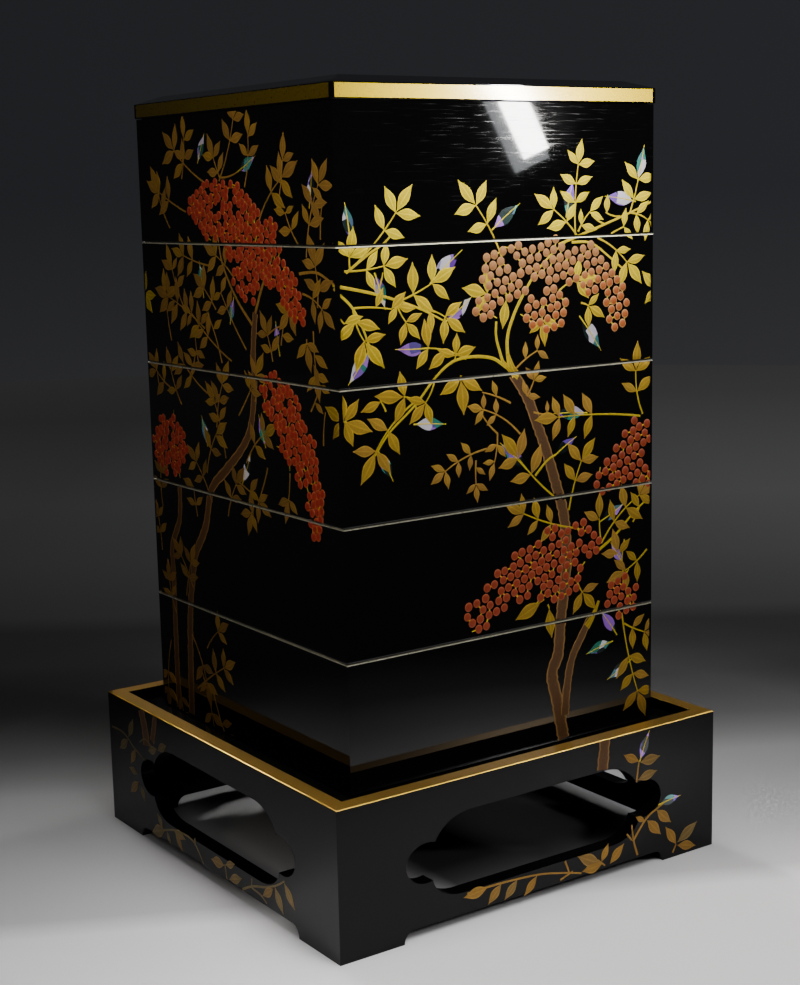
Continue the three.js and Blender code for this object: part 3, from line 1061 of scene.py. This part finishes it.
def take_strokes():
    strokes = {}
    for layer, pieces in drawn.items():
        strokes[layer] = []
        for mesh in pieces:
            heights = [vertex.co.z / MM for vertex in mesh.vertices]
            strokes[layer].append((mesh, min(heights), max(heights)))
        drawn[layer] = []
    return strokes


# Small chips at the near corner and the left edge, beside the seams
for entry in ((0.3, 392.3, 1.6), (-1.8, 393, 1.2), (0.2, 161.0, 2.0), (-1.6, 160.8, 1.2),
              (1.9, 160.9, 1.4), (0.2, 315.4, 1.2), (-226, 161.2, 1.6)):
    chip(*entry)
tier_strokes = take_strokes()
for number in range(1, tier_count + 1):
    foot = tier_foot(number) / MM
    lay_picture(f"tier_{number}", tier_strokes, sheet_side, tier_corner / MM, foot, foot + tier_height / MM,
                tier_arris / MM)


# Picture on the stand: sprays round the windows and small branches along the foot rail, with
# the trunks' ends coming down from the rim. The right side and the back carry a plain row.
# Painted shade: the stand's gold takes lower tones than the tiers', darkest (0) on the left side.
front_tone, stem_tone, left_stand_painted_shade = 0.12, 0.15, 0.0


def leaves(tone, *entries):
    for entry in entries:
        leaf(*entry, tone)


twig((220, 57), (221, 64), (222, 70), start=1.3, tone=stem_tone)
leaves(front_tone, (222, 70, 152, 13), (223, 69, 3, 15), (221, 58, 10, 15))
shell(223, 71, 66, 16)
twig((221, 9), (218, 18), (216, 30), start=1.6, tone=stem_tone)
twig((217, 19), (228, 31), (238, 36), (246, 39), start=1.6, tone=stem_tone)
twig((212, 25), (216, 20), start=1.2, tone=stem_tone)
leaves(front_tone, (237, 35, -42, 15), (229, 30, -46, 15), (227, 30, 150, 8))
shell(240, 38, 6, 15)
twig((251, 3), (254, 8), start=1.4, tone=stem_tone)
leaves(front_tone, (254, 8, 138, 15), (255, 9, 30, 18), (255, 7, -14, 15))
twig((88, 19), (110, 19), (140, 17), (160, 13), (175, 9), start=1.3, tone=stem_tone)
twig((162, 20), (164, 15), (165, 12), start=1.3, tone=stem_tone)
twig((158, 9), (168, 12), start=1.3, tone=stem_tone)
leaves(front_tone, (103, 19, 186, 16), (113, 18.5, 226, 13), (125, 18, 226, 13), (140, 16.5, 226, 13),
       (190, 12, 155, 18), (191, 12, 62, 11), (192, 11, 184, 15), (198, 9, 42, 14))
twig((188, 14), (194, 9), start=1.3, tone=stem_tone)
trunk([(194, 89), (193, 80), (192, 71)], 8.0, 9.0, dome=0.01)
twig((-282, 66), (-264, 66), (-248, 59), (-233, 55), start=1.2, tone=left_stand_painted_shade)
leaves(left_stand_painted_shade, (-257, 65, 60, 15), (-258, 63, 216, 15), (-247, 59, 236, 13), (-214, 67, 28, 16),
       (-228, 63, 20, 12))
twig((-240, 66), (-232, 70), (-222, 67), start=0.9, end=0.7, tone=left_stand_painted_shade)
leaves(left_stand_painted_shade, (-151, 71, 146, 10), (-147, 71, 38, 13), (-245, 37, 220, 15), (-241, 35, -68, 9),
       (-246, 42, 172, 11))
twig((-226, 9), (-210, 14), (-192, 19), (-170, 19), (-157, 8), start=1.4, end=1.1, tone=left_stand_painted_shade)
leaves(left_stand_painted_shade, (-209, 14, 200, 18), (-212, 14, 128, 10), (-206, 14, -60, 8), (-194, 17, -48, 12),
       (-196, 18, -5, 14), (-168, 17, 80, 5))
twig((-129, 17), (-127, 8), start=1.2, tone=left_stand_painted_shade)
leaves(left_stand_painted_shade, (-130, 16, 184, 15), (-128, 17, 20, 11), (-124, 9, 20, 15))
twig((-108, 8), (-96, 14), (-80, 19), (-68, 24), (-58, 30), start=1.5, tone=left_stand_painted_shade)
twig((-96, 19), (-97, 13), start=1.1, tone=left_stand_painted_shade)
twig((-97, 13), (-86, 12), (-79, 9), start=1.1, tone=left_stand_painted_shade)
leaves(left_stand_painted_shade, (-69, 23, -58, 15), (-58, 29, -50, 15), (-71, 21, 214, 14))
trunk([(-236, 89), (-232, 78), (-230, 66)], 8.0, 9.0, dome=0.01)
trunk([(-216, 89), (-219, 79), (-222, 71)], 5.0, 6.0, dome=0.01)
for start in (286, -572):
    twig((start + 40, 14), (start + 75, 11), (start + 110, 15), (start + 140, 12), tone=stem_tone)
    for place, tall, heading in ((46, 14, 200), (62, 12, -30), (84, 12, 150), (106, 14, -40), (128, 14, 165)):
        leaf(start + place, tall, heading, 13, stem_tone)
    twig((start + 248, 10), (start + 252, 30), (start + 246, 52), tone=stem_tone)
    for tall, heading in ((20, 35), (31, 150), (42, 30), (52, 96)):
        leaf(start + 250, tall, heading, 14, stem_tone)
lay_picture("stand", take_strokes(), stand_side / MM, stand_corner / MM, 0, stand_height / MM,
            stand_arris / MM)
